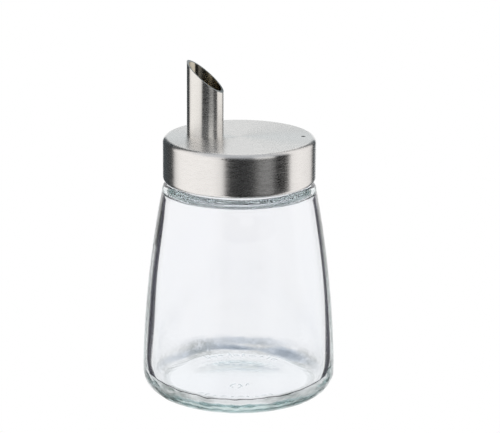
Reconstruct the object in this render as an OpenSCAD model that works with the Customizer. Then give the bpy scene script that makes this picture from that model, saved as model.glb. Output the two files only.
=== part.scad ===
// Sugar pourer: a tapered glass jar with a brushed steel screw lid and a slanted pouring tube.
// The origin is at the centre of the base, on the surface the jar stands on, with +Z up.
// The tube leans its opening towards +X, and the vent hole is at +X.

/* [Jar] */
// Outer radius of the jar at its widest, just above the heel
body_r = 39.8; // [38:0.1:42]
// Outer radius of the jar just under the lid
shoulder_r = 31.0; // [30.6:0.1:31.2]
// Height of the shoulder, where the body turns in to the neck
shoulder_z = 89.0; // [86:0.2:89.2]
// Radius of the rounding round the outside of the shoulder
shoulder_bend = 3.0; // [1.6:0.2:3.2]
// Thickness of the glass at the shoulder, under the neck
shoulder_t = 3.6; // [2.6:0.2:4.2]
// Radius of the rounded heel between the wall and the base
heel_r = 9.5; // [7:0.5:11]
// Thickness of the glass wall just above the floor
wall_t = 4.1; // [3.4:0.1:4.4]
// Thickness of the glass wall just under the shoulder
wall_top_t = 2.0; // [1.6:0.1:2.4]
// Thickness of the heavy glass floor
floor_t = 5.2; // [4.4:0.2:7]
// Radius of the rounded corner inside, between the wall and the floor
inner_corner_r = 5.5; // [4:0.5:7]
// How far the middle of the base is raised above the foot ring
push_up = 1.3; // [0.8:0.1:2]
// Width of the foot ring that the jar stands on
foot_ring_w = 1.8; // [1.4:0.2:3]
// How much of the taper is straight, from 0 for a full bow to 1 for a cone
body_straightness = 0.2; // [0:0.05:1]

/* [Neck] */
// Outer radius of the neck between the threads
neck_r = 27.5; // [27.2:0.1:27.6]
// Radius of the mouth of the jar
mouth_r = 24.6; // [24.2:0.1:25]
// Gap between the rim and the seal ring above it
rim_gap = 0.1; // [0.05:0.05:0.2]

/* [Thread] */
// Rise of the lid in one turn
thread_lead = 4.2; // [3.8:0.1:4.6]
// Number of turns of thread on the neck
thread_turns = 1.35; // [1:0.05:1.6]
// Radial height of a thread
thread_depth = 1.4; // [1:0.1:1.4]
// Width of a thread at its foot
thread_foot_w = 1.9; // [1.6:0.1:1.9]
// Width of a thread at its crest
thread_crest_w = 0.8; // [0.6:0.1:0.9]
// Radial gap between a crest and the wall it faces
thread_gap = 0.35; // [0.3:0.05:0.4]
// Axial distance of the lid's thread below the neck's thread
thread_drop = 1.9; // [1.8:0.05:2]

/* [Lid] */
// Outer radius of the lid
lid_r = 31.25; // [31.2:0.05:31.6]
// Height of the top face of the lid
lid_top_z = 108.0; // [107.6:0.1:109]
// Height of the lid from its lower edge to its top face
lid_h = 18.2; // [17.8:0.1:18.4]
// Thickness of the steel sheet
sheet_t = 0.7; // [0.5:0.05:0.8]
// Outer radius of the bend around the top face
lid_top_bend = 2.2; // [1.4:0.1:2.4]
// Outer radius of the lower edge, which is turned in under the insert
lid_edge_bend = 1.8; // [1.4:0.1:1.9]
// Diameter of the vent hole
vent_d = 1.1; // [0.8:0.1:1.4]
// Distance of the vent hole from the middle of the lid
vent_x = 26.0; // [25:0.5:27]

/* [Thread insert] */
// Thickness of the disc of the plastic insert
disc_t = 1.3; // [1.2:0.1:1.5]
// Gap between the insert and the steel skirt
insert_gap = 0.1; // [0.05:0.05:0.15]
// Height of the lower edge of the insert above the lower edge of the lid
insert_up = 2.0; // [1.9:0.1:2.4]
// Distance of the inner end of the air channel from the middle of the lid
channel_in = 22.6; // [21.5:0.1:22.8]
// Width and depth of the air channel
channel_w = 1.4; // [1.2:0.1:1.6]

/* [Seal ring] */
// Thickness of the seal ring
seal_t = 1.1; // [0.9:0.1:1.2]
// Inner radius of the seal ring
seal_in_r = 24.0; // [23.9:0.1:24.2]
// Outer radius of the seal ring
seal_out_r = 28.6; // [28:0.1:28.8]

/* [Pouring tube] */
// Outer diameter of the tube
tube_d = 15.0; // [14:0.1:15.2]
// Wall of the tube
tube_wall = 0.9; // [0.6:0.1:1.1]
// Position of the tube's axis on the lid, along X
tube_x = -14.0; // [-14.2:0.1:-12]
// Position of the tube's axis on the lid, along Y
tube_y = 3.9; // [0:0.1:4]
// Height of the tip of the tube above the top face of the lid
tube_rise = 30.4; // [26:0.2:34]
// Angle of the slanted mouth to the horizontal
cut_angle = 40; // [30:1:50]
// Direction that the slanted mouth falls towards, from +X
cut_dir = -11; // [-40:1:40]
// Height of the collar that locks the tube under the insert
collar_h = 1.8; // [1.4:0.1:2]
// Radial width of the collar
collar_w = 1.5; // [1.2:0.1:1.6]
// Length of tube below the collar
tube_tail = 0.8; // [0.4:0.1:1]

/* [Hidden] */
$fn = 96;

glass_col = [0.86, 0.92, 0.92, 0.45];
steel_col = [0.74, 0.73, 0.70];
tube_col = [0.70, 0.69, 0.66];
insert_col = [0.90, 0.90, 0.88];
seal_col = [0.82, 0.84, 0.84];
collar_col = [0.62, 0.62, 0.60];

eps = 0.01;
// levels, from the top of the lid down
lid_bot_z = lid_top_z - lid_h;
lid_in_z = lid_top_z - sheet_t;
disc_bot_z = lid_in_z - disc_t;
seal_bot_z = disc_bot_z - seal_t;
rim_z = seal_bot_z - rim_gap;
insert_bot_z = lid_bot_z + insert_up;
collar_bot_z = disc_bot_z - collar_h;
tube_bot_z = collar_bot_z - tube_tail;
tip_z = lid_top_z + tube_rise;
// radii
crest_r = neck_r + thread_depth;
bore_r = crest_r + thread_gap;
insert_r = lid_r - sheet_t - insert_gap;
tube_r = tube_d / 2;
tube_in_r = tube_r - tube_wall;
ring_out_r = body_r - heel_r;
ring_in_r = ring_out_r - foot_ring_w;
// thread positions
thread_z0 = rim_z - 9.6;
thread_z1 = thread_z0 - thread_drop;
thread_start = 35;

// fraction of the taper used up at height z of the body
function taper(z) = let(u = (z - heel_r) / (shoulder_z - heel_r))
    body_straightness * u + (1 - body_straightness) * u * u;
function body_at(z) = body_r - (body_r - shoulder_r) * taper(z);
function inside_at(z) = body_at(z) - (wall_t + (wall_top_t - wall_t) * z / shoulder_z);
function steps(a, b, n) = [for (i = [0:n]) a + (b - a) * i / n];
function arc(cx, cz, r, a0, a1, n) = [for (a = steps(a0, a1, n)) [cx + r * cos(a), cz + r * sin(a)]];

// half section of a solid disc with rounded outer corners
module rounded_half(r, z0, z1, rb, rt) {
    union() {
        translate([0, z0]) square([r - rb, (z1 - z0) / 2]);
        translate([0, (z0 + z1) / 2 - eps]) square([r - rt, (z1 - z0) / 2 + eps]);
        translate([0, z0 + rb]) square([r, z1 - z0 - rb - rt]);
        translate([r - rt, z1 - rt]) circle(r = rt);
        translate([r - rb, z0 + rb]) circle(r = rb);
    }
}

// helical ridge of trapezoid section that fades out at both ends
module helix(foot_r, tip_r, embed, z0, turns, lead, start) {
    seg = 40;
    n = round(turns * seg);
    fade = 4;
    out = sign(tip_r - foot_r);
    pts = [for (i = [0:n]) let(
            a = start + i * 360 / seg,
            z = z0 + i * lead / seg,
            k = min(1, i / fade, (n - i) / fade),
            r1 = foot_r + (tip_r - foot_r) * (k * 1.08 - 0.08),
            r0 = foot_r - out * embed)
        each [[r0 * cos(a), r0 * sin(a), z - thread_foot_w / 2],
              [r1 * cos(a), r1 * sin(a), z - thread_crest_w / 2],
              [r1 * cos(a), r1 * sin(a), z + thread_crest_w / 2],
              [r0 * cos(a), r0 * sin(a), z + thread_foot_w / 2]]];
    side = [for (i = [0:n - 1], j = [0:3]) let(p = 4 * i + j, q = 4 * i + (j + 1) % 4)
        each [[p, q, q + 4], [p, q + 4, p + 4]]];
    ends = [[0, 2, 1], [0, 3, 2], [4 * n, 4 * n + 1, 4 * n + 2], [4 * n, 4 * n + 2, 4 * n + 3]];
    tris = concat(side, ends);
    polyhedron(points = pts, faces = out > 0 ? tris : [for (f = tris) [f[0], f[2], f[1]]], convexity = 8);
}

// outline of the body of the jar, from the foot ring up to the shoulder and back to the axis
function body_outline() = concat(
    [[0, push_up], [ring_in_r - 6, push_up * 0.86], [ring_in_r - 2, push_up * 0.4], [ring_in_r, 0]],
    arc(ring_out_r, heel_r, heel_r, -90, 0, 12),
    [for (z = steps(heel_r, shoulder_z - shoulder_bend, 16)) if (z > heel_r) [body_at(z), z]],
    arc(body_at(shoulder_z - shoulder_bend) - shoulder_bend, shoulder_z - shoulder_bend, shoulder_bend, 12, 90, 6),
    [[0, shoulder_z]]);

// outline of the space inside the jar, up to the neck
function space_outline() = let(
        c = inner_corner_r,
        zc = floor_t + c,
        rw = inside_at(zc + 2),
        zt = shoulder_z - shoulder_t,
        rs = inside_at(zt - 2) - 2)
    concat(
        [[0, floor_t + 0.5], [rw * 0.55, floor_t + 0.3]],
        arc(rw - c, zc, c, -90, -6, 8),
        [for (z = steps(zc + 3, zt - 2.4, 14)) [inside_at(z), z]],
        arc(rs, zt - 2, 2, 8, 84, 6),
        [[mouth_r + 1, zt], [mouth_r + 0.3, zt + 0.3], [mouth_r, zt + 1], [mouth_r, shoulder_z + 3], [0, shoulder_z + 3]]);

module glass_jar() {
    color(glass_col) union() {
        difference() {
            union() {
                rotate_extrude() polygon(body_outline());
                // neck with its rounded rim
                rotate_extrude() rounded_half(neck_r, shoulder_z - 3, rim_z, 0.4, 1.0);
                // root of the neck
                rotate_extrude() polygon([[0, shoulder_z - 1], [neck_r + 0.9, shoulder_z - 1],
                    [neck_r + 0.9, shoulder_z], [neck_r, shoulder_z + 0.9], [0, shoulder_z + 0.9]]);
                helix(neck_r, crest_r, 0.7, thread_z0, thread_turns, thread_lead, thread_start);
            }
            rotate_extrude() polygon(space_outline());
            // mouth, opened a little at the rim
            translate([0, 0, shoulder_z - 2]) cylinder(r = mouth_r, h = rim_z - shoulder_z + 4);
            translate([0, 0, rim_z - 0.7]) cylinder(r1 = mouth_r, r2 = mouth_r + 0.8, h = 0.8);
        }
    }
}

module seal_ring() {
    color(seal_col) difference() {
        rotate_extrude() rounded_half(seal_out_r, seal_bot_z, disc_bot_z, 0.25, 0.25);
        translate([0, 0, seal_bot_z - 1]) cylinder(r = seal_in_r, h = seal_t + 2);
        // two sealing grooves in the lower face
        translate([0, 0, seal_bot_z - 1]) difference() {
            cylinder(r = neck_r - 0.6, h = 1.15);
            translate([0, 0, -1]) cylinder(r = neck_r - 1.0, h = 4);
        }
        translate([0, 0, seal_bot_z - 1]) difference() {
            cylinder(r = mouth_r + 1.4, h = 1.15);
            translate([0, 0, -1]) cylinder(r = mouth_r + 1.0, h = 4);
        }
    }
}

module vent(x, r, z, h) {
    translate([x, 0.6, z]) cylinder(r = r, h = h, $fn = 32);
}

module lid_shell() {
    color(steel_col) difference() {
        rotate_extrude() difference() {
            rounded_half(lid_r, lid_bot_z, lid_top_z, lid_edge_bend, lid_top_bend);
            rounded_half(lid_r - sheet_t, lid_bot_z + sheet_t, lid_in_z, lid_edge_bend - sheet_t, lid_top_bend - sheet_t);
            // opening inside the edge that is turned in
            translate([-1, lid_bot_z - 1]) square([lid_r - lid_edge_bend + 1, sheet_t + 2]);
        }
        translate([tube_x, tube_y, lid_in_z - 1]) cylinder(r = tube_r, h = sheet_t + 2);
        vent(vent_x, vent_d / 2, lid_in_z - 1, sheet_t + 2);
    }
}

module thread_insert() {
    color(insert_col) union() {
        difference() {
            rotate_extrude() rounded_half(insert_r, insert_bot_z, lid_in_z, 0.3, lid_top_bend - sheet_t + 0.1);
            // room for the neck
            translate([0, 0, insert_bot_z - 1]) cylinder(r = bore_r, h = disc_bot_z - insert_bot_z + 1);
            translate([0, 0, insert_bot_z - 0.5]) cylinder(r1 = bore_r + 0.9, r2 = bore_r, h = 0.9);
            // hole for the tube
            translate([tube_x, tube_y, disc_bot_z - 1]) cylinder(r = tube_r, h = disc_t + 2);
            // air channel in the upper face, from the vent to inside the seal
            translate([channel_in, 0.6 - channel_w / 2, lid_in_z - 0.6]) cube([vent_x - channel_in, channel_w, 1]);
            translate([vent_x, 0.6, lid_in_z - 0.6]) cylinder(r = channel_w / 2, h = 1, $fn = 32);
            translate([channel_in, 0.6, disc_bot_z - 1]) cylinder(r = channel_w / 2, h = disc_t + 2, $fn = 32);
        }
        helix(bore_r, bore_r - thread_depth, 0.6, thread_z1, thread_turns, thread_lead, thread_start);
    }
}

// wedge that cuts the slanted mouth
module slant_cut() {
    translate([tube_x, tube_y, tip_z - tube_r * tan(cut_angle)])
        rotate([0, 0, cut_dir]) rotate([0, cut_angle, 0])
            translate([-30, -30, 0]) cube([60, 60, 60]);
}

module pour_tube() {
    color(tube_col) difference() {
        translate([tube_x, tube_y, tube_bot_z]) cylinder(r = tube_r, h = tip_z - tube_bot_z + 1);
        translate([tube_x, tube_y, tube_bot_z - 1]) cylinder(r = tube_in_r, h = tip_z - tube_bot_z + 3);
        slant_cut();
    }
}

module tube_collar() {
    color(collar_col) translate([tube_x, tube_y, 0]) difference() {
        rotate_extrude() rounded_half(tube_r + collar_w, collar_bot_z, disc_bot_z, 0.4, 0.2);
        translate([0, 0, collar_bot_z - 1]) cylinder(r = tube_r, h = collar_h + 2);
    }
}

glass_jar();
seal_ring();
lid_shell();
thread_insert();
pour_tube();
tube_collar();
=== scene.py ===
import math

import bpy
import numpy as np
from mathutils import Matrix, Vector


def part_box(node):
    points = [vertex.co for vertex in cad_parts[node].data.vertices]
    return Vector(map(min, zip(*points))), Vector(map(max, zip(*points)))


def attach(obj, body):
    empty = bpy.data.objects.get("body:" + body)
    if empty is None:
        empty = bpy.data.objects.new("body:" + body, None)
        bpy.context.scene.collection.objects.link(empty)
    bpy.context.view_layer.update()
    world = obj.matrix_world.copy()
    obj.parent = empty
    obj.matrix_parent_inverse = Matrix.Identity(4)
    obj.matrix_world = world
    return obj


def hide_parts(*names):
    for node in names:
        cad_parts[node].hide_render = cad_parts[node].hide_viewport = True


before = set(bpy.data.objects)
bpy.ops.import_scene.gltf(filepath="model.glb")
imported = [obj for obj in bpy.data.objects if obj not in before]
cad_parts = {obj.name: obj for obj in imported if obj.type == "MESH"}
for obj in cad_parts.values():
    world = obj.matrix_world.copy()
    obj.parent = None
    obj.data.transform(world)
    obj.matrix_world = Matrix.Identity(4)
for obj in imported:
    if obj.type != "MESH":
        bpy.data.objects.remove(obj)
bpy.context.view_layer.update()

MM = 0.001
scene = bpy.context.scene

# ---------------------------------------------------------------- sizes from the frame
jar_lo, jar_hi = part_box("glass_jar")
lid_lo, lid_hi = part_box("lid_shell")
tube_lo, tube_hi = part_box("pour_tube")
ins_lo, ins_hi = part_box("thread_insert")
BODY_R = (jar_hi.x - jar_lo.x) / 2 / MM          # 39.8
RIM_Z = jar_hi.z / MM                            # 104.8
LID_R = (lid_hi.x - lid_lo.x) / 2 / MM           # 31.25
LID_TOP = lid_hi.z / MM                          # 108.0
LID_BOT = lid_lo.z / MM                          # 89.8
TUBE_X = (tube_lo.x + tube_hi.x) / 2 / MM        # -14
TUBE_Y = (tube_lo.y + tube_hi.y) / 2 / MM        # 3.9
TUBE_R = (tube_hi.x - tube_lo.x) / 2 / MM        # 7.5
TIP_Z = tube_hi.z / MM                           # 138.4
VENT = (26.0, 0.6)


# ---------------------------------------------------------------- camera
def make_camera():
    f_px, dist, height, pitch, yaw, roll = 2527.65, 1.0, 0.35357, 15.61, 0.2553, 0.30
    a, b, g = (math.radians(v) for v in (pitch, yaw, roll))
    fwd = Vector((math.sin(b) * math.cos(a), math.cos(b) * math.cos(a), -math.sin(a)))
    right = Vector((math.cos(b), -math.sin(b), 0.0))
    up = right.cross(fwd)
    r2 = right * math.cos(g) + up * math.sin(g)
    u2 = -right * math.sin(g) + up * math.cos(g)
    cam = bpy.data.cameras.new("camera")
    ob = bpy.data.objects.new("camera", cam)
    scene.collection.objects.link(ob)
    cam.type = "PERSP"
    cam.sensor_fit = "HORIZONTAL"
    cam.sensor_width = 36.0
    cam.lens = 36.0 * f_px / 500.0
    cam.clip_start, cam.clip_end = 0.05, 60.0
    m = Matrix((
        (r2.x, u2.x, -fwd.x, 0.0),
        (r2.y, u2.y, -fwd.y, -dist),
        (r2.z, u2.z, -fwd.z, height),
        (0, 0, 0, 1)))
    ob.matrix_world = m
    scene.camera = ob
    return ob


make_camera()


# ---------------------------------------------------------------- node helpers
class Tree:
    def __init__(self, name):
        self.mat = bpy.data.materials.new(name)
        self.mat.use_nodes = True
        self.nt = self.mat.node_tree
        self.nt.nodes.clear()
        self.out = self.nt.nodes.new("ShaderNodeOutputMaterial")

    def node(self, kind, **props):
        n = self.nt.nodes.new(kind)
        for k, v in props.items():
            setattr(n, k, v)
        return n

    def link(self, a, b):
        self.nt.links.new(a, b)

    def math(self, op, a, b=None, c=None, clamp=False):
        n = self.node("ShaderNodeMath", operation=op)
        n.use_clamp = clamp
        for i, v in enumerate((a, b, c)):
            if v is None:
                continue
            if isinstance(v, (int, float)):
                n.inputs[i].default_value = v
            else:
                self.link(v, n.inputs[i])
        return n.outputs[0]

    def ramp(self, fac, stops, interp="LINEAR"):
        n = self.node("ShaderNodeValToRGB")
        n.color_ramp.interpolation = interp
        els = n.color_ramp.elements
        while len(els) > 1:
            els.remove(els[-1])
        first = True
        for pos, col in stops:
            if isinstance(col, (int, float)):
                col = (col, col, col)
            if first:
                e = els[0]
                e.position = pos
                first = False
            else:
                e = els.new(pos)
            e.color = (*col[:3], 1.0)
        self.link(fac, n.inputs["Fac"])
        return n.outputs["Color"]

    def maprange(self, v, a, b, c, d, clamp=True):
        n = self.node("ShaderNodeMapRange")
        n.clamp = clamp
        self.link(v, n.inputs["Value"])
        for key, val in (("From Min", a), ("From Max", b), ("To Min", c), ("To Max", d)):
            n.inputs[key].default_value = val
        return n.outputs["Result"]

    def noise(self, vec, scale, detail=2.0, rough=0.5, dims="3D", distortion=0.0):
        n = self.node("ShaderNodeTexNoise", noise_dimensions=dims)
        n.inputs["Scale"].default_value = scale
        n.inputs["Detail"].default_value = detail
        n.inputs["Roughness"].default_value = rough
        n.inputs["Distortion"].default_value = distortion
        if vec is not None:
            self.link(vec, n.inputs["Vector"])
        return n.outputs["Fac"]

    def combine(self, x, y, z):
        n = self.node("ShaderNodeCombineXYZ")
        for i, v in enumerate((x, y, z)):
            if isinstance(v, (int, float)):
                n.inputs[i].default_value = v
            else:
                self.link(v, n.inputs[i])
        return n.outputs[0]

    def principled(self, **vals):
        n = self.node("ShaderNodeBsdfPrincipled")
        for k, v in vals.items():
            s = n.inputs[k]
            if isinstance(v, (int, float)):
                s.default_value = v
            elif isinstance(v, tuple):
                s.default_value = (*v[:3], 1.0)
            else:
                self.link(v, s)
        return n

    def around(self, cx, cy, k_ang, k_line):
        """Coordinates that run round the axis at (cx, cy) mm: slow along the circles, quick across them."""
        tc = self.node("ShaderNodeTexCoord")
        sep = self.node("ShaderNodeSeparateXYZ")
        self.link(tc.outputs["Object"], sep.inputs[0])
        x = self.math("SUBTRACT", sep.outputs[0], cx * MM)
        y = self.math("SUBTRACT", sep.outputs[1], cy * MM)
        r = self.math("SQRT", self.math("ADD", self.math("MULTIPLY", x, x), self.math("MULTIPLY", y, y)))
        rs = self.math("MAXIMUM", r, 1e-5)
        c = self.math("MULTIPLY", self.math("DIVIDE", x, rs), k_ang)
        s = self.math("MULTIPLY", self.math("DIVIDE", y, rs), k_ang)
        line = self.math("MULTIPLY", self.math("ADD", r, sep.outputs[2]), k_line)
        return self.combine(c, s, line), r, sep.outputs[2], tc.outputs["Object"]


# ---------------------------------------------------------------- materials
def steel(name, cx, cy, base=(0.79, 0.78, 0.77), rough=0.262, aniso=0.92, k_ang=5.0, line_mm=0.42,
          rot=0.25, bump=0.9, tone=0.13, bore=None, hole=None):
    """Stainless steel brushed in circles round the axis at (cx, cy)."""
    t = Tree(name)
    vec, r, z, pos = t.around(cx, cy, k_ang, 1.0 / (line_mm * MM))
    lines = t.noise(vec, 1.0, detail=4.0, rough=0.62)
    vec2, _, _, _ = t.around(cx, cy, k_ang * 3.4, 2.6 / (line_mm * MM))
    fine = t.noise(vec2, 1.0, detail=2.0, rough=0.6)
    cloud = t.noise(pos, 60.0, detail=2.0)
    both = t.math("ADD", t.math("MULTIPLY", lines, 0.6), t.math("MULTIPLY", fine, 0.4))
    lo = tuple(c * (1 - tone) for c in base)
    hi = tuple(min(1.0, c * (1 + tone * 0.7)) for c in base)
    col = t.ramp(both, [(0.30, lo), (0.5, base), (0.72, hi)])
    rg = t.math("ADD", t.maprange(both, 0.3, 0.7, rough - 0.09, rough + 0.09),
                t.maprange(cloud, 0.3, 0.7, -0.02, 0.02))
    if bore:
        # painted shade and painted highlight: the bore is coloured darker and is less rough inside, standing in for
        # the shade down the tube; the cut edge between is polished, less rough, and its brighter colour is a painted
        # highlight
        r_in, r_out = bore
        inside = t.maprange(r, (r_in + 0.05) * MM, (r_in + 0.12) * MM, 1.0, 0.0)
        edge = t.math("SUBTRACT", t.maprange(r, (r_out - 0.12) * MM, (r_out - 0.05) * MM, 1.0, 0.0), inside)
        cm = t.node("ShaderNodeMix", data_type="RGBA")
        t.link(inside, cm.inputs["Factor"])
        t.link(col, cm.inputs["A"])
        t.link(t.ramp(both, [(0.3, (0.40, 0.37, 0.30)), (0.7, (0.62, 0.58, 0.49))]), cm.inputs["B"])
        ce = t.node("ShaderNodeMix", data_type="RGBA")
        t.link(edge, ce.inputs["Factor"])
        t.link(cm.outputs["Result"], ce.inputs["A"])
        t.link(t.ramp(both, [(0.3, (0.88, 0.87, 0.85)), (0.7, (0.95, 0.94, 0.92))]), ce.inputs["B"])
        col = ce.outputs["Result"]
        rg = t.math("MULTIPLY", rg, t.maprange(t.math("ADD", edge, t.math("MULTIPLY", inside, 0.5)), 0, 1, 1.0, 0.45))
    if hole:
        # painted shade: a dark ring round the vent hole stands in for the shadow in the punched hole
        _, d, _, _ = t.around(hole[0], hole[1], 1.0, 1.0)
        ch = t.node("ShaderNodeMix", data_type="RGBA")
        t.link(t.maprange(d, 0.84 * MM, 1.06 * MM, 1.0, 0.0), ch.inputs["Factor"])
        t.link(col, ch.inputs["A"])
        ch.inputs["B"].default_value = (0.02, 0.02, 0.02, 1.0)
        col = ch.outputs["Result"]
    bmp = t.node("ShaderNodeBump")
    bmp.inputs["Strength"].default_value = bump
    bmp.inputs["Distance"].default_value = 0.02 * MM
    t.link(both, bmp.inputs["Height"])
    tan = t.node("ShaderNodeTangent", direction_type="RADIAL", axis="Z")
    p = t.principled(Metallic=1.0, Roughness=rg, Anisotropic=aniso)
    p.inputs["Anisotropic Rotation"].default_value = rot
    t.link(col, p.inputs["Base Color"])
    t.link(bmp.outputs[0], p.inputs["Normal"])
    t.link(tan.outputs[0], p.inputs["Tangent"])
    t.link(p.outputs[0], t.out.inputs["Surface"])
    return t.mat


def plastic(name, base, rough, sub=0.0, scale=900.0, bump=0.08):
    t = Tree(name)
    tc = t.node("ShaderNodeTexCoord")
    fine = t.noise(tc.outputs["Object"], scale, detail=3.0, rough=0.6)
    slow = t.noise(tc.outputs["Object"], 70.0, detail=2.0)
    mix = t.math("ADD", t.math("MULTIPLY", fine, 0.5), t.math("MULTIPLY", slow, 0.5))
    col = t.ramp(mix, [(0.3, tuple(c * 0.93 for c in base)), (0.7, base)])
    rg = t.maprange(mix, 0.3, 0.7, rough - 0.06, rough + 0.08)
    bmp = t.node("ShaderNodeBump")
    bmp.inputs["Strength"].default_value = bump
    bmp.inputs["Distance"].default_value = 0.05 * MM
    t.link(fine, bmp.inputs["Height"])
    p = t.principled(Roughness=rg)
    p.inputs["Subsurface Weight"].default_value = sub
    p.inputs["Subsurface Radius"].default_value = (0.002, 0.002, 0.002)
    t.link(col, p.inputs["Base Color"])
    t.link(bmp.outputs[0], p.inputs["Normal"])
    t.link(p.outputs[0], t.out.inputs["Surface"])
    return t.mat


def glass(name):
    """Clear glass, with painted shade: where the inner wall is seen edge-on a dark diffuse is mixed in, standing in
    for the dark line a thick jar wall shows.
    """
    t = Tree(name)
    tc = t.node("ShaderNodeTexCoord")
    slow = t.noise(tc.outputs["Object"], 45.0, detail=3.0, rough=0.55)
    fine = t.noise(tc.outputs["Object"], 700.0, detail=2.0)
    rg = t.maprange(fine, 0.66, 0.80, 0.0, 0.06)
    bmp = t.node("ShaderNodeBump")
    bmp.inputs["Strength"].default_value = 0.15
    bmp.inputs["Distance"].default_value = 0.08 * MM
    t.link(slow, bmp.inputs["Height"])
    clear = t.ramp(slow, [(0.3, (0.972, 0.978, 0.998)), (0.7, (0.985, 0.988, 1.0))])
    # the heel is greener and less even where the glass is thickest; the near-black green it is mixed towards is
    # painted shade, standing in for the dark seen through the heel
    heel = t.node("ShaderNodeAttribute", attribute_name="heel_tint_and_shade")
    mott = t.noise(tc.outputs["Object"], 260.0, detail=3.0, rough=0.6)
    heel_green_and_shade = t.math("MULTIPLY", heel.outputs["Fac"], t.maprange(mott, 0.32, 0.56, 0.35, 1.0))
    cm = t.node("ShaderNodeMix", data_type="RGBA")
    t.link(heel_green_and_shade, cm.inputs["Factor"])
    t.link(clear, cm.inputs["A"])
    cm.inputs["B"].default_value = (0.035, 0.06, 0.045, 1.0)
    col = cm.outputs["Result"]
    p = t.principled(Roughness=rg)
    p.inputs["Transmission Weight"].default_value = 1.0
    p.inputs["IOR"].default_value = 1.5
    t.link(bmp.outputs[0], p.inputs["Normal"])
    t.link(col, p.inputs["Base Color"])
    # painted shade: where the inner wall is seen edge-on, a dark diffuse stands in for the dark ring of total
    # reflection in a thick wall
    lw = t.node("ShaderNodeLayerWeight")
    lw.inputs["Blend"].default_value = 0.5
    att = t.node("ShaderNodeAttribute", attribute_name="inner_wall")
    geo = t.node("ShaderNodeNewGeometry")
    sep = t.node("ShaderNodeSeparateXYZ")
    t.link(tc.outputs["Object"], sep.inputs[0])
    lean = t.maprange(sep.outputs[2], 0.010, 0.050, -0.006, 0.0)      # the wall leans in towards the shoulder
    face = t.math("ADD", lw.outputs["Facing"], lean)
    from_air = t.maprange(lw.outputs["Facing"], 0.955, 0.985, 0.0, 1.0)
    from_glass = t.ramp(face, [(0.0, 0.0), (0.250, 0.0), (0.2555, 0.88), (0.262, 0.92), (0.268, 1.0), (0.278, 0.98), (0.291, 0.0), (1.0, 0.0)])
    side = t.node("ShaderNodeMix", data_type="FLOAT")
    t.link(geo.outputs["Backfacing"], side.inputs["Factor"])
    t.link(from_air, side.inputs[2])
    t.link(from_glass, side.inputs[3])
    lp = t.node("ShaderNodeLightPath")
    first = t.math("LESS_THAN", lp.outputs["Ray Depth"], 2.5)         # light that runs on inside the wall is not darkened again
    fac = t.math("MULTIPLY", t.math("MULTIPLY", side.outputs[0], first), att.outputs["Fac"])
    # painted shade: the near-black diffuse that is mixed over the glass on the edge-on inner wall
    dark = t.node("ShaderNodeBsdfDiffuse")
    dark.inputs["Color"].default_value = (0.03, 0.03, 0.045, 1.0)
    mix = t.node("ShaderNodeMixShader")
    t.link(fac, mix.inputs[0])
    t.link(p.outputs[0], mix.inputs[1])
    t.link(dark.outputs[0], mix.inputs[2])
    t.link(mix.outputs[0], t.out.inputs["Surface"])
    vol = t.node("ShaderNodeVolumeAbsorption")
    vol.inputs["Color"].default_value = (0.765, 0.885, 0.875, 1.0)
    vol.inputs["Density"].default_value = 17.0
    t.link(vol.outputs[0], t.out.inputs["Volume"])
    return t.mat


M_SKIRT = steel("brushed_steel_lid", 0.0, 0.0, hole=VENT)
M_TUBE = steel("brushed_steel_tube", TUBE_X, TUBE_Y, base=(0.78, 0.77, 0.745), k_ang=2.6, line_mm=0.34,
               bump=0.6, bore=(TUBE_R - 0.9, TUBE_R))
M_COLLAR = steel("plain_steel_collar", TUBE_X, TUBE_Y, base=(0.62, 0.62, 0.60), aniso=0.3, rough=0.35)
M_INSERT = plastic("white_polypropylene", (0.86, 0.88, 0.90), 0.42, sub=0.1)
M_SEAL = plastic("milky_silicone", (0.74, 0.77, 0.77), 0.35, sub=0.2, scale=500.0)
M_GLASS = glass("clear_glass")


def dress(node, mat):
    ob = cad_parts[node]
    ob.data.materials.clear()
    ob.data.materials.append(mat)
    for p in ob.data.polygons:
        p.material_index = 0
    return ob


dress("lid_shell", M_SKIRT)
dress("pour_tube", M_TUBE)
dress("tube_collar", M_COLLAR)
dress("thread_insert", M_INSERT)
dress("seal_ring", M_SEAL)


# ---------------------------------------------------------------- the glass jar
HEEL = 9.5
SHOULDER_Z = 89.0
SHOULDER_R = 31.0
NECK_R = 27.5
MOUTH_R = 24.6
FLOOR_T = 5.2
PUSH = 1.3
CORNER = 5.5
WALL_LOW, WALL_TOP = 4.1, 2.0
BEND, SHOULDER_T = 3.0, 3.0
LEAD, TURNS, DEPTH, FOOT_W, CREST_W, START = 4.2, 1.35, 1.4, 1.9, 0.8, 35.0
THREAD_Z0 = RIM_Z - 9.6


def taper(z):
    u = (z - HEEL) / (SHOULDER_Z - HEEL)
    return 0.2 * u + 0.8 * u * u


def body_at(z):
    return BODY_R - (BODY_R - SHOULDER_R) * taper(z)


def inside_at(z):
    return body_at(z) - (WALL_LOW + (WALL_TOP - WALL_LOW) * z / SHOULDER_Z)


def lin(a, b, n, ends=(True, True)):
    v = np.linspace(a, b, n)
    return v[(0 if ends[0] else 1):(None if ends[1] else -1)]


def arc(cx, cz, r, a0, a1, n):
    return [(cx + r * math.cos(math.radians(a)), cz + r * math.sin(math.radians(a))) for a in np.linspace(a0, a1, n)]


def resample(points, step):
    """Points along a smooth line, evenly spaced."""
    p = np.array(points, float)
    keep = np.r_[True, np.hypot(*np.diff(p, axis=0).T) > 1e-6]
    p = p[keep]
    s = np.r_[0, np.cumsum(np.hypot(*np.diff(p, axis=0).T))]
    n = max(2, int(round(s[-1] / step)) + 1)
    t = np.linspace(0, s[-1], n)
    return np.c_[np.interp(t, s, p[:, 0]), np.interp(t, s, p[:, 1])]


def smoothed(points, rounds=2, w=0.5):
    p = np.array(points, float)
    for _ in range(rounds):
        q = p.copy()
        q[1:-1] = p[1:-1] * (1 - w) + (p[:-2] + p[2:]) * w / 2
        p = q
    return p


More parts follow.
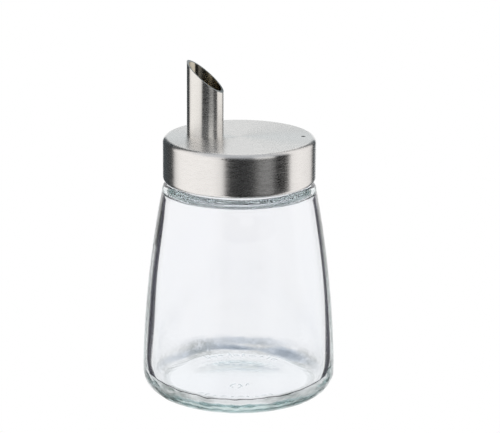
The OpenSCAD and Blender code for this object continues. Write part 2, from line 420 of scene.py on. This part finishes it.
def jar_profile():
    ring_out = BODY_R - HEEL
    ring_in = ring_out - 1.8
    # underside, from the middle out
    under = [(r, PUSH * (1 - (r / ring_in) ** 2) ** 2) for r in np.linspace(0.4, ring_in, 54)] + [(ring_in + 0.9, 0.0), (ring_out, 0.0)]
    under = smoothed(under, 5)
    heel = arc(ring_out, HEEL, HEEL, -90, 0, 34)[1:]
    wall = [(body_at(z), z) for z in np.linspace(HEEL, SHOULDER_Z - BEND, 58)[1:]]
    r1 = body_at(SHOULDER_Z - BEND)
    should = arc(r1 - BEND, SHOULDER_Z - BEND, BEND, 8, 90, 18)
    neck = arc(NECK_R + 0.9, SHOULDER_Z + 0.9, 0.9, -96, -180, 7)
    nz = [(NECK_R, z) for z in np.linspace(SHOULDER_Z + 1.2, RIM_Z - 1.1, 56)]
    rim = arc(NECK_R - 1.0, RIM_Z - 1.0, 1.0, 4, 90, 7) + arc(MOUTH_R + 0.9, RIM_Z - 0.9, 0.9, 90, 176, 7)
    bore = [(MOUTH_R, z) for z in np.linspace(RIM_Z - 1.4, SHOULDER_Z - SHOULDER_T + 2.0, 14)]
    top = SHOULDER_Z - SHOULDER_T                  # ceiling of the space under the shoulder
    rs = inside_at(top - 2) - 2
    ish = resample([(MOUTH_R, top + 1.4), (MOUTH_R, top + 1.0), (MOUTH_R + 0.3, top + 0.3), (MOUTH_R + 1.0, top)]
                   + arc(rs, top - 2, 2, 86, 4, 14), 0.3)
    ish = smoothed(ish, 5)
    zc = FLOOR_T + CORNER
    iw = [(inside_at(z), z) for z in np.linspace(top - 2.4, zc + 3, 50)]
    rw = inside_at(zc + 2)
    corner = arc(rw - CORNER, zc, CORNER, -6, -90, 22)
    floor = resample([(rw - CORNER - 0.6, FLOOR_T + 0.01), (rw * 0.5, FLOOR_T + 0.28), (0.4, FLOOR_T + 0.5)], 1.0)
    outer = [tuple(p) for p in under] + heel + wall + should + neck + nz + rim + bore
    inner = [tuple(p) for p in ish] + iw + corner + [tuple(p) for p in floor]
    return outer, inner


def thread_height(ang, z):
    """Height of the helical thread above the neck at these angles and heights, in mm."""
    a = np.degrees(ang) % 360.0
    h = np.zeros_like(z)
    for k in range(-1, 3):
        phi = a + 360.0 * k - START               # angle along the helix from its start
        n_t = phi / 360.0
        zc = THREAD_Z0 + LEAD * n_t
        d = np.abs(z - zc)
        prof = np.clip((FOOT_W / 2 - d) / (FOOT_W / 2 - CREST_W / 2), 0, 1)
        prof = prof * prof * (3 - 2 * prof)
        end = np.clip(np.minimum(n_t, TURNS - n_t) / 0.10, 0, 1)
        end = end * end * (3 - 2 * end)
        h = np.maximum(h, prof * end * DEPTH)
    return h


def mark_height(x, y):
    """Generic marks pressed into the underside: rows of bars and dots, in mm."""
    h = np.zeros_like(x)

    def bar(cx, cy, ang, length, width, hh=0.30):
        c, s = math.cos(ang), math.sin(ang)
        u = (x - cx) * c + (y - cy) * s
        v = -(x - cx) * s + (y - cy) * c
        du = np.maximum(np.abs(u) - length / 2, 0)
        d = np.hypot(du, v)
        k = np.clip((width / 2 + 0.35 - d) / 0.7, 0, 1)
        return hh * k * k * (3 - 2 * k)

    # two rows of bars and dots near the rim of the recess, on opposite sides
    for turn in (0.0, math.pi):
        for i, a in enumerate(np.radians([56, 62, 69, 77, 85, 92, 98, 106, 113, 119]) + turn):
            r = 27.4
            cx, cy = r * math.cos(a), r * math.sin(a)
            if i % 5 in (1, 4):
                h = np.maximum(h, bar(cx, cy, a, 2.4, 0.7, 0.34))
            elif i % 5 in (0, 3):
                h = np.maximum(h, bar(cx, cy, a + math.pi / 2, 2.0, 0.7, 0.34))
                h = np.maximum(h, bar(cx * 0.95, cy * 0.95, a + math.pi / 2, 1.2, 0.6, 0.30))
            else:
                h = np.maximum(h, bar(cx, cy, a, 0.01, 1.3, 0.36))
    # near the middle: a short broken arc and a dot
    for a in np.radians([-50, -20, 10, 40, 120, 150, 180, 210]):
        h = np.maximum(h, bar(-1.0 + 2.1 * math.cos(a), -11 + 2.6 * math.sin(a), a + math.pi / 2, 1.2, 0.5, 0.26))
    h = np.maximum(h, bar(3.6, -9.0, 1.3, 2.2, 0.5, 0.26))
    return h


def build_jar(n_ang=480):
    outer, inner = jar_profile()
    prof = np.array(outer + inner)
    n_out = len(outer)
    m = len(prof)
    ang = np.arange(n_ang) * 2 * math.pi / n_ang
    R = np.repeat(prof[:, 0][:, None], n_ang, 1)
    Z = np.repeat(prof[:, 1][:, None], n_ang, 1)
    A = np.repeat(ang[None, :], m, 0)
    idx = np.arange(m)[:, None]
    is_out = idx < n_out
    # thread on the neck
    on_neck = is_out & (Z > SHOULDER_Z + 1.0) & (Z < RIM_Z - 1.0) & (R > MOUTH_R + 1.5)
    R = R + np.where(on_neck, thread_height(A, Z), 0.0)
    # underside: raised marks, and knurls on the foot ring
    ring_out = BODY_R - HEEL
    under = is_out & (Z < PUSH + 0.2) & (R < ring_out - 1.0)
    X, Y = R * np.cos(A), R * np.sin(A)
    Z = Z + np.where(under, mark_height(X, Y), 0.0)
    on_ring = is_out & (Z < 1.2) & (R > ring_out - 1.6) & (R < ring_out + 4.0)
    knurl = np.clip(0.5 + 0.9 * np.cos(A * 120), 0, 1)
    w = np.clip((R - ring_out + 1.4) / 0.8, 0, 1) * np.clip((ring_out + 3.8 - R) / 1.2, 0, 1)
    Z = Z + np.where(on_ring, 0.20 * knurl * w, 0.0)
    # the heel is a little lumpy where the two halves of the mould and the base plate meet
    low = is_out & (Z < 12) & (R > ring_out + 2.0)
    lump = (np.sin(11 * A + 0.4) * np.sin(0.9 * Z + 3 * np.sin(2 * A)) + 0.7 * np.sin(23 * A + 1.3 + 0.5 * Z)
            + 0.5 * np.sin(41 * A + 0.8 * Z + 2.0))
    R = R + np.where(low, 0.07 * lump * np.clip((12 - Z) / 5, 0, 1) * np.clip((R - ring_out - 2.0) / 2.0, 0, 1), 0.0)
    # the inner wall is a little uneven, as pressed glass is
    inn = (~is_out) & (Z > FLOOR_T + 2) & (Z < SHOULDER_Z - 3)
    fade = np.clip((Z - FLOOR_T - 2) / 8, 0, 1) * np.clip((SHOULDER_Z - 3 - Z) / 8, 0, 1)
    wave = (0.075 * np.cos(3 * A + 0.7 + 0.012 * Z) + 0.05 * np.cos(7 * A + 2.1 - 0.02 * Z)
            + 0.03 * np.cos(13 * A + 0.3 + 0.05 * Z) + 0.04 * np.sin(0.16 * Z + 2 * A))
    R = R + np.where(inn, wave * fade, 0.0)
    # faint mould seam on both sides of the outside
    seam = np.exp(-((np.angle(np.exp(1j * (A - math.radians(72))))) * R / 0.28) ** 2)
    seam += np.exp(-((np.angle(np.exp(1j * (A - math.radians(252))))) * R / 0.28) ** 2)
    on_body = is_out & (Z > 2.0) & (Z < SHOULDER_Z - 0.5)
    R = R + np.where(on_body, 0.035 * seam, 0.0)
    co = np.stack([R * np.cos(A), R * np.sin(A), Z], -1).reshape(-1, 3) * MM
    verts = [tuple(v) for v in co]
    faces = []
    for i in range(m - 1):
        a0, b0 = i * n_ang, (i + 1) * n_ang
        for j in range(n_ang):
            k = (j + 1) % n_ang
            faces.append((a0 + j, b0 + j, b0 + k, a0 + k))
    # close the middle of the underside and of the floor
    c0 = len(verts); verts.append((0, 0, prof[0, 1] * MM))
    c1 = len(verts); verts.append((0, 0, prof[-1, 1] * MM))
    last = (m - 1) * n_ang
    for j in range(n_ang):
        k = (j + 1) % n_ang
        faces.append((c0, j, k))
        faces.append((c1, last + k, last + j))
    me = bpy.data.meshes.new("glass_jar_fine")
    me.from_pydata(verts, [], faces)
    me.materials.append(M_GLASS)
    me.polygons.foreach_set("use_smooth", [True] * len(faces))
    me.update()
    import bmesh
    bm = bmesh.new(); bm.from_mesh(me)
    bmesh.ops.recalc_face_normals(bm, faces=bm.faces)
    vol = bm.calc_volume(signed=True)
    if vol < 0:
        bmesh.ops.reverse_faces(bm, faces=bm.faces)
    bm.to_mesh(me); bm.free()
    att = me.attributes.new("inner_wall", "FLOAT", "POINT")
    wall = np.where((idx >= n_out) & (Z > FLOOR_T + 1.5) & (Z < SHOULDER_Z - 2), 1.0, 0.0) * np.ones_like(R)
    att.data.foreach_set("value", list(wall.reshape(-1)) + [0.0, 0.0])
    # patches of greener glass round the heel, partly painted shade: their near-black green stands in for the dark
    # seen through the thick heel
    deg = np.degrees(A)
    patch = np.zeros_like(A)
    for at, wide, much in ((219, 17, 1.0), (246, 9, 0.5), (292, 5, 0.6), (308, 10, 0.9), (330, 9, 0.5), (30, 14, 0.6), (75, 9, 0.4), (120, 15, 0.8), (165, 10, 0.5)):
        d = (deg - at + 180) % 360 - 180
        patch = np.maximum(patch, much * np.exp(-(d / wide) ** 2))
    heel_green_and_shade = np.where(is_out & (R > ring_out + 0.3) & (Z < 11), 1.0, 0.0) * np.clip((10 - Z) / 4, 0, 1) * (0.26 + 0.74 * patch)
    att2 = me.attributes.new("heel_tint_and_shade", "FLOAT", "POINT")
    att2.data.foreach_set("value", list(heel_green_and_shade.reshape(-1)) + [0.0, 0.0])
    ob = bpy.data.objects.new("glass_jar_fine", me)
    scene.collection.objects.link(ob)
    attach(ob, "jar")
    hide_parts("glass_jar")
    print("jar verts", len(verts), "volume cm3", abs(vol) * 1e6)
    return ob


jar = build_jar()


# ---------------------------------------------------------------- floor, backdrop and light
def emission(name, build):
    t = Tree(name)
    e = t.node("ShaderNodeEmission")
    build(t, e)
    t.link(e.outputs[0], t.out.inputs["Surface"])
    try:
        t.mat.cycles.emission_sampling = "NONE"
    except Exception:
        pass
    return t.mat


def sphere(name, radius, mat, segs=96, rings=48):
    verts, faces = [], []
    for i in range(rings + 1):
        th = math.pi * i / rings
        for j in range(segs):
            ph = 2 * math.pi * j / segs
            verts.append((radius * math.sin(th) * math.cos(ph), radius * math.sin(th) * math.sin(ph), radius * math.cos(th)))
    for i in range(rings):
        for j in range(segs):
            k = (j + 1) % segs
            faces.append((i * segs + j, i * segs + k, (i + 1) * segs + k, (i + 1) * segs + j))
    me = bpy.data.meshes.new(name)
    me.from_pydata(verts, [], faces)
    me.materials.append(mat)
    ob = bpy.data.objects.new(name, me)
    scene.collection.objects.link(ob)
    return ob


def azimuth_of(t):
    """Degrees round the object: 0 towards the camera side (-Y), positive to the right (+X); and the elevation."""
    tc = t.node("ShaderNodeTexCoord")
    sep = t.node("ShaderNodeSeparateXYZ")
    t.link(tc.outputs["Object"], sep.inputs[0])
    a = t.math("ARCTAN2", sep.outputs[0], t.math("MULTIPLY", sep.outputs[1], -1.0))
    deg = t.math("MULTIPLY", a, 180.0 / math.pi)
    ln = t.node("ShaderNodeVectorMath", operation="LENGTH")
    t.link(tc.outputs["Object"], ln.inputs[0])
    el = t.math("MULTIPLY", t.math("ARCSINE", t.math("DIVIDE", sep.outputs[2], ln.outputs["Value"])), 180.0 / math.pi)
    return deg, el


def studio_bands(t, e):
    deg, el = azimuth_of(t)
    u = t.maprange(deg, -180, 180, 0, 1)

    def p(a):
        return (a + 180) / 360

    dim, warm = (0.08, 0.10, 0.11), (1.0, 0.975, 0.955)
    w = lambda k: tuple(c * k for c in warm)
    stops = [(-180, dim), (-118, 0.045), (-112, w(0.85)), (-100, w(1.0)),
             (-40, w(0.98)), (-25, w(0.82)), (-19, 0.03), (0, 0.02), (24, 0.035), (30, 0.11), (45, 0.17), (53, 0.10), (57, 0.015),
             (78, 0.015), (83, w(0.88)), (100, w(0.97)), (136, w(0.85)), (142, 0.05), (159, dim), (180, dim)]
    col = t.ramp(u, [(p(a), v) for a, v in stops])
    # the backdrop is greyer just above the horizon than higher up
    sheet = t.ramp(t.maprange(el, -20, 60, 0, 1), [(0.0, (0.95, 0.95, 0.95)), (0.34, (0.90, 0.90, 0.91)), (0.40, (0.62, 0.65, 0.66)),
                                                  (0.50, (0.66, 0.69, 0.70)), (0.60, (1.05, 1.05, 1.04)), (1.0, (1.05, 1.05, 1.04))])
    behind = t.math("MAXIMUM", t.maprange(deg, 158, 162, 0, 1), t.maprange(deg, -168, -164, 1, 0))
    mixb = t.node("ShaderNodeMix", data_type="RGBA")
    t.link(behind, mixb.inputs["Factor"])
    t.link(col, mixb.inputs["A"])
    t.link(sheet, mixb.inputs["B"])
    col = mixb.outputs["Result"]
    # a lamp high on the right of the camera
    lamp = t.math("MULTIPLY", t.ramp(u, [(p(20), 0.0), (p(25), 1.0), (p(52), 1.0), (p(57), 0.0)]),
                  t.math("MULTIPLY", t.maprange(el, 6, 16, 0, 1), t.maprange(el, 50, 66, 1, 0)))
    mix0 = t.node("ShaderNodeMix", data_type="RGBA")
    t.link(lamp, mix0.inputs["Factor"])
    t.link(col, mix0.inputs["A"])
    mix0.inputs["B"].default_value = (1.0, 0.99, 0.97, 1)
    # overhead, and a softer sheet high on the camera's side
    front = t.math("MULTIPLY", t.maprange(t.math("ABSOLUTE", deg), 70, 100, 1, 0), t.maprange(el, 20, 46, 0, 0.9))
    top = t.math("MAXIMUM", t.maprange(el, 50, 75, 0, 1), front)
    mix = t.node("ShaderNodeMix", data_type="RGBA")
    t.link(top, mix.inputs["Factor"])
    t.link(mix0.outputs["Result"], mix.inputs["A"])
    mix.inputs["B"].default_value = (0.55, 0.57, 0.60, 1)
    t.link(mix.outputs["Result"], e.inputs["Color"])
    e.inputs["Strength"].default_value = 1.15


def clear_tent(t, e):
    deg, el = azimuth_of(t)
    u = t.maprange(deg, -180, 180, 0, 1)

    def p(a):
        return (a + 180) / 360

    stops = [(-180, 0.97), (-151, 0.96), (-145, 0.30), (-127, 0.25), (-117, 0.82), (-110, 0.85), (-40, 0.85), (-24, 0.5), (-18, 0.20), (24, 0.20),
             (30, 0.4), (45, 0.5), (60, 0.3), (76, 0.4), (84, 0.85), (117, 0.85), (127, 0.25), (145, 0.30), (151, 0.96), (180, 0.97)]
    col = t.ramp(u, [(p(a), v) for a, v in stops])
    top = t.maprange(el, 30, 55, 0, 1)
    mix = t.node("ShaderNodeMix", data_type="RGBA")
    t.link(top, mix.inputs["Factor"])
    t.link(col, mix.inputs["A"])
    mix.inputs["B"].default_value = (0.80, 0.82, 0.86, 1)
    t.link(mix.outputs["Result"], e.inputs["Color"])
    e.inputs["Strength"].default_value = 1.0


def studio(t, e):
    """Brushed metal sees the dark gaps between the lamps; clear glass, a sharp mirror, sees the white sheets nearer to it."""
    studio_bands(t, e)
    a = e.inputs["Color"].links[0].from_socket
    clear_tent(t, e)
    b = e.inputs["Color"].links[0].from_socket
    lp = t.node("ShaderNodeLightPath")
    mix = t.node("ShaderNodeMix", data_type="RGBA")
    t.link(t.math("MAXIMUM", lp.outputs["Is Singular Ray"], lp.outputs["Is Transmission Ray"]), mix.inputs["Factor"])
    t.link(a, mix.inputs["A"])
    t.link(b, mix.inputs["B"])
    t.link(mix.outputs["Result"], e.inputs["Color"])
    t.link(t.maprange(lp.outputs["Diffuse Depth"], 0.0, 1.0, 1.1, 1.0), e.inputs["Strength"])


tent = sphere("studio_reflections", 3.0, emission("studio_bands", studio))
tent.visible_camera = False
tent.visible_diffuse = False
tent.visible_shadow = False
tent.visible_volume_scatter = False


def floor_plane(name, size, z, mat):
    me = bpy.data.meshes.new(name)
    s = size / 2
    me.from_pydata([(-s, -s, z), (s, -s, z), (s, s, z), (-s, s, z)], [], [(0, 1, 2, 3)])
    me.materials.append(mat)
    ob = bpy.data.objects.new(name, me)
    scene.collection.objects.link(ob)
    return ob


def floor_glow(t, e):
    e.inputs["Color"].default_value = (1, 1, 1, 1)
    e.inputs["Strength"].default_value = 1.0


floor = floor_plane("floor", 16.0, -0.0002, emission("pale_floor", floor_glow))
floor.visible_glossy = False
floor.visible_transmission = False
floor.visible_shadow = False


def floor_near(t, e):
    """The same floor as the glass sees it, with the soft shade where the jar stands."""
    tc = t.node("ShaderNodeTexCoord")
    sep = t.node("ShaderNodeSeparateXYZ")
    t.link(tc.outputs["Object"], sep.inputs[0])
    x, y = (t.math("MULTIPLY", sep.outputs[k], 1000.0) for k in (0, 1))
    r = t.math("SQRT", t.math("ADD", t.math("MULTIPLY", x, x), t.math("MULTIPLY", y, y)))
    beta = t.math("MULTIPLY", t.math("ARCTAN2", x, y), 180.0 / math.pi)      # 0 straight behind the jar, positive to the right
    b = t.maprange(beta, -90, 90, 0, 1)
    n = t.noise(tc.outputs["Object"], 95.0, detail=3.0, rough=0.55)
    rw = t.math("ADD", r, t.math("MULTIPLY", t.math("SUBTRACT", n, 0.5), 4.5))

    def by_angle(stops, scale=1.0):
        f = t.ramp(b, [((a + 90) / 180.0, v / scale) for a, v in stops])
        return t.math("MULTIPLY", f, scale)

    # the ring of shade under the heel: thin on the left, deep straight behind, broad on the right
    deep = by_angle([(-90, 0.04), (-62, 0.14), (-50, 0.22), (-40, 0.28), (-28, 0.24), (-18, 0.30), (-8, 0.52), (0, 0.66), (5, 0.66),
                     (10, 0.42), (14, 0.36), (22, 0.36), (27, 0.56), (34, 0.62), (40, 0.50), (46, 0.45), (52, 0.26), (60, 0.12), (90, 0.03)])
    near = by_angle([(-60, 36), (-40, 33.5), (-16, 37), (0, 35), (12, 36), (22, 31), (45, 30), (60, 33)], 100.0)
    far = by_angle([(-60, 50), (-40, 46.5), (-16, 51), (0, 47), (12, 43), (22, 51), (30, 50), (40, 48), (50, 44), (60, 48)], 100.0)
    ring = t.math("MULTIPLY", t.math("DIVIDE", t.math("SUBTRACT", rw, near), 4.0, clamp=True),
                  t.math("DIVIDE", t.math("SUBTRACT", t.math("ADD", far, 2.0), rw), 8.0, clamp=True))
    ring = t.math("MULTIPLY", ring, deep)
    # a fainter one beyond it
    deep2 = by_angle([(-34, 0.0), (-22, 0.08), (-12, 0.17), (0, 0.25), (10, 0.22), (20, 0.12), (32, 0.0)])
    ring2 = t.math("MULTIPLY", t.math("DIVIDE", t.math("SUBTRACT", rw, 47.0), 4.0, clamp=True),
                   t.math("DIVIDE", t.math("SUBTRACT", 66.0, rw), 8.0, clamp=True))
    ring2 = t.math("MULTIPLY", ring2, deep2)
    # a short soft shade behind the middle
    sy = t.math("SUBTRACT", 1.0, t.math("DIVIDE", t.math("ABSOLUTE", t.math("SUBTRACT", y, 16.0)), 5.0), clamp=True)
    sx = t.ramp(t.maprange(x, -20, 24, 0, 1), [((a + 20) / 44.0, v) for a, v in
                [(-13, 0.0), (-9, 0.22), (-3, 0.18), (0, 0.48), (3.5, 0.60), (6, 0.40), (10, 0.30), (16, 0.24), (20, 0.0)]])
    blot = t.math("MULTIPLY", t.math("MULTIPLY", sy, sx), t.maprange(n, 0.35, 0.6, 0.2, 0.4))
    v = t.math("MULTIPLY", t.math("SUBTRACT", 1.0, ring), t.math("MULTIPLY", t.math("SUBTRACT", 1.0, ring2), t.math("SUBTRACT", 1.0, blot)))
    v = t.math("MULTIPLY", v, t.maprange(r, 30.0, 60.0, 0.985, 1.0))
    c = lambda k: (k * (0.972 - 0.24 * (1 - k)), k * 0.962, k * (0.962 + 0.30 * (1 - k)))
    col = t.ramp(v, [(k, c(k)) for k in (0.0, 0.25, 0.5, 0.75, 1.0)])
    t.link(col, e.inputs["Color"])
    # cards on both sides light the plastic under the lid through the glass
    lp = t.node("ShaderNodeLightPath")
    cards = t.math("MULTIPLY", t.maprange(t.math("ABSOLUTE", x), 20.0, 120.0, 0.0, 1.0), 4.5)
    t.link(t.math("ADD", 1.0, t.math("MULTIPLY", t.math("MINIMUM", lp.outputs["Diffuse Depth"], 1.0), cards)), e.inputs["Strength"])


def seen_from_above(mat):
    """The stage floor is only there from above, so that the underside can be looked at."""
    nt = mat.node_tree
    out = [n for n in nt.nodes if n.type == "OUTPUT_MATERIAL"][0]
    src = out.inputs["Surface"].links[0].from_socket
    geo = nt.nodes.new("ShaderNodeNewGeometry")
    clear = nt.nodes.new("ShaderNodeBsdfTransparent")
    mix = nt.nodes.new("ShaderNodeMixShader")
    nt.links.new(geo.outputs["Backfacing"], mix.inputs[0])
    nt.links.new(src, mix.inputs[1])
    nt.links.new(clear.outputs[0], mix.inputs[2])
    nt.links.new(mix.outputs[0], out.inputs["Surface"])


floor_t = floor_plane("floor_under_glass", 16.0, -0.0002, emission("pale_floor_shade", floor_near))
floor_t.visible_camera = False
floor_t.visible_diffuse = False
floor_t.visible_glossy = False
floor_t.visible_shadow = False

seen_from_above(floor.data.materials[0])
seen_from_above(floor_t.data.materials[0])

world = bpy.data.worlds.new("world")
scene.world = world
world.use_nodes = True
bg = world.node_tree.nodes["Background"]
bg.inputs["Color"].default_value = (1, 1, 1, 1)
bg.inputs["Strength"].default_value = 1.0

scene.view_settings.view_transform = "Standard"
scene.view_settings.look = "None"
scene.cycles.max_bounces = 40
scene.cycles.transmission_bounces = 40
scene.cycles.glossy_bounces = 32
scene.cycles.transparent_max_bounces = 16
scene.cycles.caustics_reflective = True
scene.cycles.caustics_refractive = True
scene.cycles.use_denoising = True
scene.cycles.seed = 7
